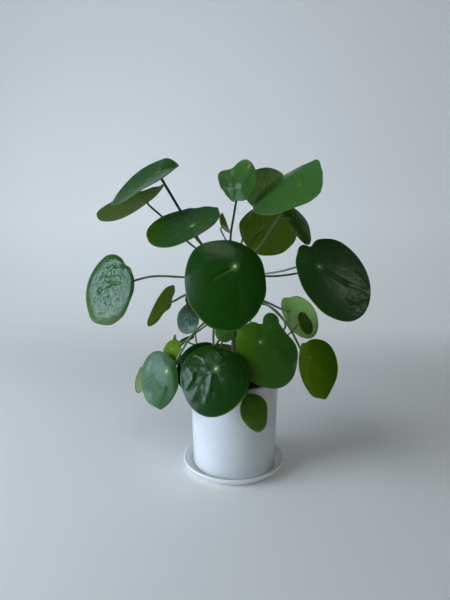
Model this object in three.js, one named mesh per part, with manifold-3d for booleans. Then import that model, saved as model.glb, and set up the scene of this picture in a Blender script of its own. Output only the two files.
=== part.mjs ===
// A potted pilea: one woody trunk with round peltate leaves on long stalks, two young
// shoots beside it, potting soil, a straight glazed pot and its saucer.
//
// Units are millimetres and +Z is up. The origin is the middle of the saucer's flat
// underside, on the table. -Y faces the viewer and +X is to the viewer's right.
//
// Each leaf is one solid, because its blade and its stalk grew as one piece. The trunk,
// the shoots, the soil, the pot and the saucer are solids of their own, a hair apart.

import * as THREE from 'three';
import { mergeVertices } from 'three/addons/utils/BufferGeometryUtils.js';
import Module from 'manifold-3d';

const wasm = await Module();
wasm.setup();

// Driving dimensions
const GAP = 0.3;                 // clearance between solids that touch on the real plant
const SAUCER_RIM_RADIUS = 64.2;
const SAUCER_WALL_RADIUS = 56.5; // outside of the wall at its foot
const SAUCER_FOOT_RADIUS = 52;
const SAUCER_HEIGHT = 11;
const SAUCER_FLOOR = 4;          // thickness of the saucer's floor
const SAUCER_FOOT_RISE = 1.4;    // the underside slopes up by this much to the wall
const SAUCER_LIP = 1.4;          // radius of the rounded rim
const POT_HEIGHT = 110;
const POT_TOP_RADIUS = 55;
const POT_BOTTOM_RADIUS = 51.2;
const POT_WALL = 4;
const POT_FLOOR = 7;
const POT_FOOT_WIDTH = 7;        // the ring that the pot stands on
const POT_FOOT_RISE = 1.2;       // the underside inside that ring is this much higher
const POT_EDGE = 1.2;            // rounding of the bottom edge and the rim
const POT_FILLET = 4;            // slope between the wall and the floor inside
const DRAIN_RADIUS = 6;          // drainage hole in the pot's floor
const ROUND_SEGMENTS = 40;
const SOIL_TOP = 101;            // mean height of the soil above the table
const SOIL_MOUND = 3.5;          // it is heaped this much towards the trunk
const SOIL_RELIEF = 1.2;
const SOIL_RINGS = 7;
const STEM_FOOT = 66;            // the stems reach this far down into the soil
const TRUNK = { at: [0, 0], top: 252, radius: 3.7, crown: 4.6, crownFrom: 182, sides: 10 };
const LEFT_SHOOT = { at: [-16, 20], top: 134, radius: 1.9, crown: 2.3, crownFrom: 108, sides: 8 };
const RIGHT_SHOOT = { at: [17, -12], top: 142, radius: 1.9, crown: 2.3, crownFrom: 108, sides: 8 };
const SCAR_SPACING = 9;          // leaf scars ring the bare stems
const SCAR_RELIEF = 0.35;
const BUD_HEIGHT = 3;            // the blunt bud on top of a stem
const BLADE_THICKNESS = 1;
const BLADE_SPOKES = 24;
const BLADE_RINGS = [0.5, 1];
const STALK_RADIUS = 1.3;
const STALK_SIDES = 6;
const STALK_STEPS = 12;
const NECK = 5;                  // the stalk turns square to the blade over this length

// Leaves. `at` is where the stalk meets the blade. `face` turns the blade's upper side:
// azimuth from the viewer (positive to the right), elevation above level, and the turn of
// the tip in the blade's plane (0 points down the slope). `rim` lists the distances from
// the stalk's dot to the edge, evenly round the blade from the tip, and `lift` the edge's
// height above the plane, likewise or as one number. The stalk leaves its stem at the
// height `root` and passes through the points of `via`.
const TRUNK_LEAVES = [
  { name: 'front', at: [0, -108, 258], face: [-8, 20, -20],
    rim: [64, 54, 46, 32, 25, 26, 32, 52], lift: -6,
    root: 244, via: [[2, -50, 262]] },
  { name: 'right', at: [93, -50, 254], face: [25, 33, 18],
    rim: [68, 44, 29, 27, 29, 43, 61, 68], lift: -4,
    root: 238, via: [[52, -28, 247], [76, -42, 254]], radius: 1.1 },
  { name: 'upper_left', at: [-85, -38, 356.5], face: [-43, 49, -36],
    rim: [60, 45, 37, 26, 24, 26, 34, 37], lift: [-3, 0, 0, 1, -5, -1, 3, 2],
    root: 250, via: [[-45, 4, 283], [-67, 0, 321]], radius: 1.6 },
  { name: 'far_left', at: [-110, 26, 331], face: [-101, 62, 25],
    rim: [63, 63, 37, 27, 29, 27, 35, 59], lift: [9, 3, 8, 8, 9, 8, 3, 5],
    root: 243, via: [[-57, 20, 279], [-91, 30, 311]] },
  { name: 'middle_left', at: [-46, -53, 298.5], face: [-36, 56, -56],
    rim: [52, 66, 43, 36, 32, 30, 32, 43], lift: 1,
    root: 247, via: [[-36, -14, 275]] },
  { name: 'top_centre', at: [2, -10, 343], face: [-22, 14, 168],
    rim: [35, 31, 25, 21, 20, 17, 17, 15, 17, 23, 28, 26], lift: -1.5,
    root: 248, via: [[-5, -6, 283], [0, -4, 318]] },
  { name: 'top_back', at: [38, 35, 353], face: [-170, 27, -25],
    rim: [36, 31, 25, 21, 22, 27, 29, 33], lift: -3,
    root: 250, via: [[9, 14, 281], [22, 30, 316]] },
  { name: 'upper_right', at: [71, -30, 344], face: [-42, 47, -72],
    rim: [58, 60, 54, 42, 39, 30, 27, 33, 42, 43, 51, 55],
    lift: [-6, -9, -8, -1, 3, 0, 0, 0, 0, 0, 0, -3],
    root: 249, via: [[33, -4, 280], [54, -10, 313]] },
  { name: 'back_centre', at: [38, 55, 298], face: [176, 27, -47],
    rim: [45, 43, 36, 32, 31, 31, 33, 38], lift: -3,
    root: 243, via: [[22, 28, 281]] },
  { name: 'narrow_right', at: [73, 10, 307], face: [48, 30, 8],
    rim: [34, 17, 12, 20, 18, 23, 28, 30], lift: -2,
    root: 242, via: [[33, 3, 278], [52, 6, 310]] },
  { name: 'pale_right', at: [70, 20, 194], face: [133, 13, -42],
    rim: [44, 40, 28, 17, 18, 16, 18, 30], lift: 3,
    root: 224, via: [[47, 18, 202], [61, 20, 195]] },
  { name: 'low_right', at: [90, -20, 143], face: [44, 18, 0],
    rim: [50, 36, 24, 21, 20, 28, 45, 51], lift: 3,
    root: 222, via: [[38, -4, 206], [64, -9, 181]] },
  { name: 'low_centre', at: [29, -52, 170], face: [13, 38, 14],
    rim: [56, 43, 29, 27, 28, 30, 36, 46], lift: -4,
    root: 212, via: [[16, -24, 194]] },
  { name: 'low_front', at: [-20, -76, 146], face: [-18, 27, -5],
    rim: [51, 46, 41, 32, 25, 28, 37, 44], lift: -6,
    root: 198, via: [[-20, -14, 196], [-24, -42, 172]] },
  { name: 'low_behind', at: [-36, -45, 147], face: [-22, 28, -5],
    rim: [42, 38, 30, 24, 22, 24, 30, 38], lift: -3,
    root: 190, via: [[-16, -20, 168]] },
  { name: 'low_left', at: [-79, -40, 132], face: [-36, 19, -26],
    rim: [47, 43, 37, 19, 14, 13, 20, 38], lift: -4,
    root: 206, via: [[-47, -22, 175]] },
  { name: 'narrow_left', at: [-84, 10, 208], face: [-102, 26, 33],
    rim: [40, 26, 23, 23, 21, 20, 29, 35], lift: 3,
    root: 226, via: [[-58, 8, 216]] },
  { name: 'left', at: [-138, -10, 231], face: [-32, 12, -58],
    rim: [65, 56, 42, 24, 20, 21, 32, 53], lift: -3,
    root: 236, via: [[-61, -2, 238], [-100, -6, 239]] },
  { name: 'yellow', at: [-76, -15, 152], face: [-46, 17, 6],
    rim: [22, 20, 17, 14, 12, 14, 17, 20], lift: -3,
    root: 200, via: [[-46, -12, 172]], radius: 1.1 },
  { name: 'behind_right', at: [104, 42, 247], face: [120, 30, 0],
    rim: [42, 36, 28, 24, 22, 24, 28, 36], lift: -3,
    root: 240, via: [[60, 34, 237]] },
  { name: 'behind_front', at: [-8, 100, 250], face: [178, 24, 6],
    rim: [58, 50, 40, 31, 27, 31, 40, 50], lift: -4,
    root: 236, via: [[-4, 52, 252]] },
  { name: 'behind_centre', at: [40, 72, 140], face: [150, 30, -4],
    rim: [42, 38, 31, 25, 22, 25, 31, 38], lift: -4,
    root: 206, via: [[40, 6, 203], [66, 30, 172]] },
  { name: 'behind_low', at: [-24, 78, 121], face: [-160, 26, 4],
    rim: [46, 40, 32, 26, 23, 26, 32, 40], lift: -4,
    root: 194, via: [[-14, 42, 158]] },
  { name: 'behind_left', at: [-32, 70, 222], face: [-145, 40, 6],
    rim: [48, 42, 33, 27, 24, 27, 33, 42], lift: -3,
    root: 230, via: [[-18, 36, 232]] },
  { name: 'newest', at: [-14, 14, 300], face: [68, 48, 180],
    rim: [11, 11, 10, 11, 13, 11, 10, 11], lift: [11, 7, 2, 0, 0, 0, 2, 7],
    root: 251, via: [[-10, 15, 280]], radius: 0.9, neck: 5, spokes: 16 },
];
const LEFT_SHOOT_LEAVES = [
  { name: 'young_blue', at: [-57, 25, 188], face: [-42, 14, -15],
    rim: [26, 27, 23, 15, 10, 11, 16, 22], lift: -2,
    root: 123, via: [[-46, 27, 142], [-51, 27, 168]], radius: 1, neck: 8, spokes: 16 },
  { name: 'young_level', at: [-58, 4, 160], face: [-74, 69, 0],
    rim: [12, 11, 10, 9, 9, 9, 10, 11], lift: 1,
    root: 127, via: [[-40, 12, 148]], radius: 0.9, neck: 5, spokes: 16 },
  { name: 'young_pale', at: [-117, 4, 119], face: [-104, 8, 10],
    rim: [28, 26, 20, 16, 14, 16, 20, 26], lift: -2,
    root: 118, via: [[-44, 14, 130], [-84, 8, 138]], radius: 1, neck: 8, spokes: 16 },
];
const RIGHT_SHOOT_LEAVES = [
  { name: 'young_pot', at: [18, -66, 109], face: [30, 16, 20],
    rim: [39, 25, 12, 6, 6, 6, 10, 25], lift: -3,
    root: 122, via: [[15, -42, 126]], radius: 1, neck: 5, spokes: 16 },
  { name: 'young_peek', at: [44, -12, 188], face: [12, 22, 0],
    rim: [14, 12, 10, 9, 9, 9, 10, 12], lift: -1,
    root: 135, via: [[32, -8, 158]], radius: 0.9, neck: 6, spokes: 16 },
  { name: 'young_under', at: [-11, -28, 178], face: [-6, 24, 0],
    rim: [14, 13, 12, 11, 11, 11, 12, 13], lift: -1,
    root: 131, via: [[4, -16, 156]], radius: 0.9, neck: 6, spokes: 16 },
  { name: 'young_dark', at: [84, -14, 188], face: [30, 24, 10],
    rim: [18, 13, 9, 10, 11, 9, 8, 13], lift: -1,
    root: 129, via: [[54, -18, 161]], radius: 0.9, neck: 6, spokes: 16 },
];

const BLADE = { color: 0x35562a, roughness: 0.38, metalness: 0 };
const YOUNG_BLADE = { color: 0x6f8a2e, roughness: 0.42, metalness: 0 };
const BARK = { color: 0x5b4632, roughness: 0.85, metalness: 0 };
const SHOOT = { color: 0x6c7a3a, roughness: 0.6, metalness: 0 };
const SOIL = { color: 0x2e241c, roughness: 0.95, metalness: 0 };
const GLAZE = { color: 0xdfe2e6, roughness: 0.22, metalness: 0 };

// A closed mesh with shared vertices, without triangles that shrank to a line
function closed(geometry) {
  geometry.deleteAttribute('normal');
  geometry.deleteAttribute('uv');
  const merged = mergeVertices(geometry, 1e-3);
  const corner = merged.index.array;
  const kept = [];
  for (let i = 0; i < corner.length; i += 3) {
    const [a, b, c] = corner.slice(i, i + 3);
    if (a !== b && b !== c && c !== a) kept.push(a, b, c);
  }
  merged.setIndex(kept);
  return merged;
}

function toSolid(geometry) {
  const mesh = closed(geometry);
  return new wasm.Manifold(new wasm.Mesh({
    numProp: 3,
    vertProperties: new Float32Array(mesh.attributes.position.array),
    triVerts: new Uint32Array(mesh.index.array),
  }));
}

function toGeometry(solid) {
  const { vertProperties, triVerts } = solid.getMesh();
  const geometry = new THREE.BufferGeometry();
  geometry.setAttribute('position', new THREE.BufferAttribute(vertProperties, 3));
  geometry.setIndex([...triVerts]);
  return geometry;
}

// Points [radius, height] turned about the upright axis
function turned(profile, segments) {
  const points = profile.map(([r, z]) => new THREE.Vector2(r, z));
  return new THREE.LatheGeometry(points, segments).rotateX(Math.PI / 2);
}

// Skin stretched over `rows` of points with the same count, each row a closed loop
function skin(rows, position, index) {
  const count = rows[0].length;
  rows.flat().forEach((p) => position.push(p.x, p.y, p.z));
  for (let j = 0; j + 1 < rows.length; j++) {
    for (let i = 0; i < count; i++) {
      const a = j * count + i;
      const b = j * count + (i + 1) % count;
      index.push(a, b, b + count, a, b + count, a + count);
    }
  }
}

// Smooth closed curve through evenly spaced values, read at the angle phi
function around(values, phi) {
  if (!Array.isArray(values)) return values;
  const n = values.length;
  const t = phi / (2 * Math.PI) * n;
  const k = Math.floor(t);
  const f = t - k;
  const [a, b, c, d] = [-1, 0, 1, 2].map((s) => values[(k + s + n) % n]);
  return b + f * (c - a) / 2 + f * f * (2 * a - 5 * b + 4 * c - d) / 2
    + f * f * f * (3 * b - a - 3 * c + d) / 2;
}

// The blade's own directions: its normal, from the dot to the tip, and across
function bladeAxes([azimuth, elevation, turn]) {
  const [az, el, tw] = [azimuth, elevation, turn].map(THREE.MathUtils.degToRad);
  const [sa, ca, se, ce] = [Math.sin(az), Math.cos(az), Math.sin(el), Math.cos(el)];
  const normal = new THREE.Vector3(sa * ce, -ca * ce, se);
  const down = new THREE.Vector3(sa * se, -ca * se, -ce);
  const side = new THREE.Vector3().crossVectors(normal, down);
  const tip = down.multiplyScalar(Math.cos(tw)).addScaledVector(side, Math.sin(tw));
  return { normal, tip, across: new THREE.Vector3().crossVectors(tip, normal) };
}

// A point of the blade's upper side: rho is 0 at the dot and 1 at the edge
function bladePoint(leaf, axes, rho, phi, below) {
  const reach = around(leaf.rim, phi) * rho;
  return new THREE.Vector3(...leaf.at)
    .addScaledVector(axes.across, reach * Math.sin(phi))
    .addScaledVector(axes.tip, reach * Math.cos(phi))
    .addScaledVector(axes.normal, around(leaf.lift, phi) * rho * rho - below);
}

// Both sides are split into triangles alike, so they never cross
function bladeSolid(leaf, axes) {
  const spokes = leaf.spokes ?? BLADE_SPOKES;
  const angles = Array.from({ length: spokes }, (_, i) => 2 * Math.PI * i / spokes);
  const ring = (rho, below) => angles.map((phi) => bladePoint(leaf, axes, rho, phi, below));
  const upper = BLADE_RINGS.map((rho) => ring(rho, 0));
  const lower = BLADE_RINGS.map((rho) => ring(rho, BLADE_THICKNESS)).reverse();
  const position = [];
  const index = [];
  skin([...upper, ...lower], position, index);
  const last = position.length / 3;
  for (const below of [0, BLADE_THICKNESS]) {
    const p = bladePoint(leaf, axes, 0, 0, below);
    position.push(p.x, p.y, p.z);
  }
  for (let i = 0; i < spokes; i++) {
    const next = (i + 1) % spokes;
    index.push(last, next, i);
    index.push(last + 1, last - spokes + i, last - spokes + next);
  }
  const geometry = new THREE.BufferGeometry();
  geometry.setAttribute('position', new THREE.Float32BufferAttribute(position, 3));
  geometry.setIndex(index);
  return toSolid(geometry);
}

// The stem's radius at a height, without its scars
function stemRadius(stem, z) {
  const swell = THREE.MathUtils.smoothstep(z, stem.crownFrom, stem.crownFrom + 20);
  return THREE.MathUtils.lerp(stem.radius, stem.crown, swell);
}

function stalkSolid(leaf, axes, stem) {
  const radius = leaf.radius ?? STALK_RADIUS;
  const dot = new THREE.Vector3(...leaf.at);
  const neck = dot.clone().addScaledVector(axes.normal, -(leaf.neck ?? NECK));
  const sunk = dot.clone().addScaledVector(axes.normal, -BLADE_THICKNESS / 2);
  const via = leaf.via.map((p) => new THREE.Vector3(...p));
  const away = new THREE.Vector3(via[0].x - stem.at[0], via[0].y - stem.at[1], 0);
  const rise = Math.atan2(Math.abs(via[0].z - leaf.root), away.length());
  const clear = stemRadius(stem, leaf.root) + SCAR_RELIEF + GAP + radius * Math.sin(rise);
  const start = new THREE.Vector3(stem.at[0], stem.at[1], leaf.root);
  start.addScaledVector(away.normalize(), clear);
  const path = new THREE.CatmullRomCurve3([start, ...via, neck, sunk]);
  const section = new THREE.Shape(Array.from({ length: STALK_SIDES }, (_, i) => {
    const angle = 2 * Math.PI * i / STALK_SIDES;
    return new THREE.Vector2(radius * Math.cos(angle), radius * Math.sin(angle));
  }));
  return toSolid(new THREE.ExtrudeGeometry(section, { steps: STALK_STEPS, extrudePath: path }));
}

function leafGeometry(leaf, stem) {
  const axes = bladeAxes(leaf.face);
  return toGeometry(bladeSolid(leaf, axes).add(stalkSolid(leaf, axes, stem)));
}

// A stem with a scar ring at each old leaf, ending in a blunt bud
function stemGeometry(stem) {
  const profile = [[0, STEM_FOOT]];
  const rings = Math.floor((stem.top - STEM_FOOT) / SCAR_SPACING * 2);
  for (let ring = 0; ring <= rings; ring++) {
    const z = STEM_FOOT + ring * SCAR_SPACING / 2;
    profile.push([stemRadius(stem, z) + (ring % 2) * SCAR_RELIEF, z]);
  }
  profile.push([stem.crown * 0.3, stem.top + BUD_HEIGHT], [0, stem.top + BUD_HEIGHT]);
  return closed(turned(profile, stem.sides));
}

// Saucer: a low dish with a flaring wall and a rounded lip
function saucerGeometry() {
  const lipHeight = SAUCER_HEIGHT - SAUCER_LIP;
  const lipRadius = SAUCER_RIM_RADIUS - SAUCER_LIP;
  const profile = [[0, 0], [SAUCER_FOOT_RADIUS, 0], [SAUCER_WALL_RADIUS, SAUCER_FOOT_RISE]];
  for (const degrees of [-30, 30, 90, 150]) {
    const angle = THREE.MathUtils.degToRad(degrees);
    profile.push([lipRadius + SAUCER_LIP * Math.cos(angle), lipHeight + SAUCER_LIP * Math.sin(angle)]);
  }
  profile.push([SAUCER_WALL_RADIUS + 1, SAUCER_FLOOR + 0.9]);
  profile.push([SAUCER_WALL_RADIUS - 1, SAUCER_FLOOR], [0, SAUCER_FLOOR]);
  return closed(turned(profile, ROUND_SEGMENTS));
}

const POT_BASE = SAUCER_FLOOR + GAP;
const POT_RIM = POT_BASE + POT_HEIGHT;
const POT_INSIDE = POT_BASE + POT_FLOOR;

// Outer radius of the pot at a height
function potRadius(z) {
  return THREE.MathUtils.mapLinear(z, POT_BASE, POT_RIM, POT_BOTTOM_RADIUS, POT_TOP_RADIUS);
}

// Pot: a wall that widens a little, a foot ring and a drainage hole
function potGeometry() {
  const foot = POT_BOTTOM_RADIUS - POT_EDGE;
  const profile = [
    [DRAIN_RADIUS, POT_BASE + POT_FOOT_RISE],
    [foot - POT_FOOT_WIDTH, POT_BASE + POT_FOOT_RISE],
    [foot - POT_FOOT_WIDTH + 1, POT_BASE],
    [foot, POT_BASE],
    [potRadius(POT_BASE) - POT_EDGE * 0.3, POT_BASE + POT_EDGE * 0.3],
    [potRadius(POT_BASE + POT_EDGE), POT_BASE + POT_EDGE],
    [potRadius(POT_RIM - POT_EDGE), POT_RIM - POT_EDGE],
    [POT_TOP_RADIUS - POT_EDGE * 0.3, POT_RIM - POT_EDGE * 0.3],
    [POT_TOP_RADIUS - POT_EDGE, POT_RIM],
    [POT_TOP_RADIUS - POT_WALL + POT_EDGE, POT_RIM],
    [potRadius(POT_RIM - POT_EDGE) - POT_WALL, POT_RIM - POT_EDGE],
    [potRadius(POT_INSIDE + POT_FILLET) - POT_WALL, POT_INSIDE + POT_FILLET],
    [potRadius(POT_INSIDE) - POT_WALL - POT_FILLET, POT_INSIDE],
    [DRAIN_RADIUS, POT_INSIDE],
  ];
  profile.push(profile[0]);
  return closed(turned(profile, ROUND_SEGMENTS));
}

// Height of the soil, with soft clods that fade out at the pot's wall
function soilHeight(x, y) {
  const reach = Math.hypot(x, y) / (POT_TOP_RADIUS - POT_WALL);
  const large = Math.sin(x * 0.31 + 1.3) * Math.cos(y * 0.27);
  const small = Math.sin(x * 0.11 - y * 0.52);
  const clods = large + 0.6 * small;
  return SOIL_TOP + SOIL_MOUND * (1 - reach) + SOIL_RELIEF * clods * (1 - reach ** 4);
}

// Soil: fills the pot, with plain holes where the stems stand
function soilGeometry() {
  const side = (z) => potRadius(z) - POT_WALL - GAP;
  const angles = Array.from({ length: ROUND_SEGMENTS }, (_, i) => 2 * Math.PI * i / ROUND_SEGMENTS);
  const circle = (r, height) => angles.map((a) => {
    const [x, y] = [r * Math.cos(a), r * Math.sin(a)];
    return new THREE.Vector3(x, y, height(x, y));
  });
  const floor = POT_INSIDE + GAP;
  const rows = [
    circle(side(floor) - POT_FILLET - GAP, () => floor),
    circle(side(floor + POT_FILLET), () => floor + POT_FILLET),
  ];
  for (let ring = SOIL_RINGS; ring > 0; ring--) {
    rows.push(circle(side(SOIL_TOP) * ring / SOIL_RINGS, soilHeight));
  }
  const position = [];
  const index = [];
  skin(rows, position, index);
  const last = position.length / 3;
  position.push(0, 0, floor, 0, 0, soilHeight(0, 0));
  for (let i = 0; i < ROUND_SEGMENTS; i++) {
    const next = (i + 1) % ROUND_SEGMENTS;
    index.push(last, next, i, last + 1, last - ROUND_SEGMENTS + i, last - ROUND_SEGMENTS + next);
  }
  const geometry = new THREE.BufferGeometry();
  geometry.setAttribute('position', new THREE.Float32BufferAttribute(position, 3));
  geometry.setIndex(index);
  let soil = toSolid(geometry);
  for (const stem of [TRUNK, LEFT_SHOOT, RIGHT_SHOOT]) {
    const foot = STEM_FOOT - GAP;
    const radius = stem.radius + SCAR_RELIEF + GAP;
    const over = POT_RIM;
    const hole = turned([[0, foot], [radius, foot], [radius, over], [0, over]], stem.sides);
    soil = soil.subtract(toSolid(hole.translate(...stem.at, 0)));
  }
  return toGeometry(soil);
}

const plant = new THREE.Group();

function place(name, geometry, look, x = 0, y = 0) {
  const mesh = new THREE.Mesh(geometry, new THREE.MeshStandardMaterial(look));
  mesh.name = name;
  mesh.position.set(x, y, 0);
  plant.add(mesh);
}

function placeLeaves(stem, leaves, look) {
  for (const leaf of leaves) place(`leaf_${leaf.name}`, leafGeometry(leaf, stem), look);
}

place('saucer', saucerGeometry(), GLAZE);
place('pot', potGeometry(), GLAZE);
place('soil', soilGeometry(), SOIL);
place('trunk', stemGeometry(TRUNK), BARK, ...TRUNK.at);
place('shoot_left', stemGeometry(LEFT_SHOOT), SHOOT, ...LEFT_SHOOT.at);
place('shoot_right', stemGeometry(RIGHT_SHOOT), SHOOT, ...RIGHT_SHOOT.at);
placeLeaves(TRUNK, TRUNK_LEAVES, BLADE);
placeLeaves(LEFT_SHOOT, LEFT_SHOOT_LEAVES, YOUNG_BLADE);
placeLeaves(RIGHT_SHOOT, RIGHT_SHOOT_LEAVES, YOUNG_BLADE);

export default plant;
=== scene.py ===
"""Looks of the potted pilea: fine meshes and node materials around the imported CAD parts.

The tables are in millimetres, in the part's frame: +Z up, -Y towards the viewer and +X to
the viewer's right. A mesh is made in metres.
"""
import math
import random

import bpy
import numpy as np
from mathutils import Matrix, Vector, noise


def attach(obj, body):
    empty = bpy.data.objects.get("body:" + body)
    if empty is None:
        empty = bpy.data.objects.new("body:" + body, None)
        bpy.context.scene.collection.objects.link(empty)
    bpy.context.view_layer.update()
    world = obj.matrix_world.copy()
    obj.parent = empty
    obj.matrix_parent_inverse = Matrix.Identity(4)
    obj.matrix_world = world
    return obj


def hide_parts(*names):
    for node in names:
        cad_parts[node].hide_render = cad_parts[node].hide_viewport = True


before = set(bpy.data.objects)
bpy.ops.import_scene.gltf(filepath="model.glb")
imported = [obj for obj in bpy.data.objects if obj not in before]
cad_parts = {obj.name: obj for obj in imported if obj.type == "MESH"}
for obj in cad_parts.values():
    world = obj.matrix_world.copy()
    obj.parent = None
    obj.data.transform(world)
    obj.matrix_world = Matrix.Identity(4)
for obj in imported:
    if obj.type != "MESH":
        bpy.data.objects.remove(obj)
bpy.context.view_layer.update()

MM = 0.001
BODY = "root"

# Sizes shared with the part's source
GAP = 0.3
SAUCER_RIM_RADIUS = 64.2
SAUCER_WALL_RADIUS = 56.5
SAUCER_FOOT_RADIUS = 52
SAUCER_HEIGHT = 11
SAUCER_FLOOR = 4
SAUCER_FOOT_RISE = 1.4
SAUCER_LIP = 1.4
POT_HEIGHT = 110
POT_TOP_RADIUS = 55
POT_BOTTOM_RADIUS = 51.2
POT_WALL = 4
POT_FLOOR = 7
POT_FOOT_WIDTH = 7
POT_FOOT_RISE = 1.2
DRAIN_RADIUS = 6
POT_BASE = SAUCER_FLOOR + GAP
POT_RIM = POT_BASE + POT_HEIGHT
POT_INSIDE = POT_BASE + POT_FLOOR
SOIL_TOP = 101
SOIL_MOUND = 3.5
SOIL_RELIEF = 1.2
STEM_FOOT = 66
BLADE_THICKNESS = 1
STALK_RADIUS = 1.3
NECK = 5

TRUNK = dict(at=(0, 0), top=252, radius=3.7, crown=4.6, crown_from=182)
LEFT_SHOOT = dict(at=(-16, 20), top=134, radius=1.9, crown=2.3, crown_from=108)
RIGHT_SHOOT = dict(at=(17, -12), top=142, radius=1.9, crown=2.3, crown_from=108)

# Mesh fineness
TURNED_SEGMENTS = 160
BLADE_SPOKES = 168
UPPER_RINGS = 42
LOWER_RINGS = 22
EDGE_RINGS = (0.35, 0.7, 0.92)   # across the rounded edge
STALK_SIDES = 12
STALK_STEPS = 60

# Veins: main veins leave the dot evenly and arc towards the tip
VEIN_COUNT = 10
VEIN_ARC = 0.28
VEIN_WOBBLE = 0.05
VALLEY_WIDTH = 1.4   # the blade dips over a main vein
RIB_SPACING = 8.5    # puckers between two main veins
DOT_RADIUS = 2.6     # the dip where the stalk joins


def linear(red, green, blue):
    """A colour given as 0 to 255 display values, as linear light."""
    return tuple(
        v / 12.92 if v <= 0.04045 else ((v + 0.055) / 1.055) ** 2.4
        for v in (red / 255, green / 255, blue / 255)
    )


# Node helpers

def material(name):
    """A new material: its node tree and its Principled shader."""
    made = bpy.data.materials.new(name)
    made.use_nodes = True
    return made, made.node_tree, made.node_tree.nodes["Principled BSDF"]


def put(tree, kind, inputs=None, **settings):
    """Adds a shader node. An input's value is a number, a colour or another node's output."""
    node = tree.nodes.new("ShaderNode" + kind)
    for key, value in settings.items():
        setattr(node, key, value)
    for key, value in (inputs or {}).items():
        socket = node.inputs[key]
        if isinstance(value, bpy.types.NodeSocket):
            tree.links.new(value, socket)
        else:
            socket.default_value = value
    return node


def calc(tree, operation, *values):
    """The output of a Math node."""
    return put(tree, "Math", dict(enumerate(values)), operation=operation).outputs[0]


def times(tree, first, second):
    return calc(tree, "MULTIPLY", first, second)


def plus(tree, first, second):
    return calc(tree, "ADD", first, second)


def fade(tree, value, low, high, out_low=0.0, out_high=1.0):
    """Smooth step of a value from low..high to out_low..out_high."""
    inputs = {0: value, 1: low, 2: high, 3: out_low, 4: out_high}
    return put(tree, "MapRange", inputs, interpolation_type="SMOOTHSTEP").outputs[0]


def tint(tree, factor, first, second, blend_type="MIX"):
    """Mixes two colours."""
    node = put(tree, "Mix", data_type="RGBA", blend_type=blend_type)
    for socket, value in ((0, factor), (6, first), (7, second)):
        if isinstance(value, bpy.types.NodeSocket):
            tree.links.new(value, node.inputs[socket])
        elif socket == 0:
            node.inputs[socket].default_value = value
        else:
            node.inputs[socket].default_value = (*value, 1)
    return node.outputs[2]


def shaded(tree, tone, amount, shade):
    """A colour that turns darker by the shade where the amount is high."""
    return tint(tree, amount, tone, tint(tree, 1.0, tone, shade, "MULTIPLY"))


def drawn_out(tree, vector, share):
    """Coordinates that draw a texture out along the third axis."""
    return put(tree, "VectorMath", {0: vector, 1: (1.0, 1.0, share)},
               operation="MULTIPLY").outputs[0]


def grain(tree, vector, scale, detail=2.0, roughness=0.5):
    """The value of a Noise texture, about 0.5 on average."""
    inputs = {"Vector": vector, "Scale": scale, "Detail": detail, "Roughness": roughness}
    return put(tree, "TexNoise", inputs).outputs["Fac"]


def wire(tree, value, shader, name):
    """Leads a value into one of the shader's inputs."""
    tree.links.new(value, shader.inputs[name])


def roughen(tree, shader, value, low, high):
    """Roughness between low and high, by the value of a Noise texture."""
    wire(tree, fade(tree, value, 0.3, 0.7, low, high), shader, "Roughness")


def carried(tree, name, kind="Vector"):
    """The value of a mesh attribute."""
    return put(tree, "Attribute", attribute_name=name).outputs[kind]


def bump(tree, height, shader, distance=MM):
    """Height in units of the distance, on the shader's normal."""
    made = put(tree, "Bump", {"Height": height, "Distance": distance, "Strength": 1.0})
    tree.links.new(made.outputs[0], shader.inputs["Normal"])


# Mesh helpers

def neighbours(count):
    """Each point of a closed row with the next one."""
    return [(i, (i + 1) % count) for i in range(count)]


def grid_faces(rows, count):
    """Quads between rows of count points each, every row closed."""
    return [(low + i, low + k, low + count + k, low + count + i)
            for low in range(0, (rows - 1) * count, count) for i, k in neighbours(count)]


def end_fans(rows, count, top, bottom):
    """Triangles that close the first row at the point top and the last row at bottom."""
    last = (rows - 1) * count
    faces = []
    for i, k in neighbours(count):
        faces += [(top, i, k), (bottom, last + k, last + i)]
    return faces


def end_caps(rows, count):
    """A face each that closes the first and the last row."""
    last = (rows - 1) * count
    return [tuple(reversed(range(count))), tuple(range(last, last + count))]


def piece(name, node, slot, points, faces, materials, face_materials, **attributes):
    """A smooth mesh piece that stands for a CAD node. Attributes are arrays for each point."""
    mesh = bpy.data.meshes.new(name)
    mesh.from_pydata((np.asarray(points, float) * MM).tolist(), [], faces)
    for made in materials:
        mesh.materials.append(made)
    mesh.polygons.foreach_set("material_index", face_materials)
    mesh.polygons.foreach_set("use_smooth", [True] * len(mesh.polygons))
    for key, values in attributes.items():
        values = np.asarray(values, np.float32)
        if key == "tone":
            layer = mesh.color_attributes.new(key, "FLOAT_COLOR", "POINT")
            values = np.c_[values, np.ones(len(values), np.float32)]
            layer.data.foreach_set("color", values.ravel())
        else:
            layer = mesh.attributes.new(key, "FLOAT_VECTOR", "POINT")
            layer.data.foreach_set("vector", values.ravel())
    mesh.validate()
    mesh.update()
    made = bpy.data.objects.new(name, mesh)
    bpy.context.scene.collection.objects.link(made)
    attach(made, BODY)
    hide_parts(node)
    return made


def smooth(low, high, value):
    """Smooth step of numpy values."""
    t = np.clip((value - low) / (high - low), 0, 1)
    return t * t * (3 - 2 * t)


def mixed(first, second, share):
    """Colours between two, for shares of any shape."""
    share = np.asarray(share)[..., None]
    return np.asarray(first) * (1 - share) + np.asarray(second) * share


# Leaves

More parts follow.
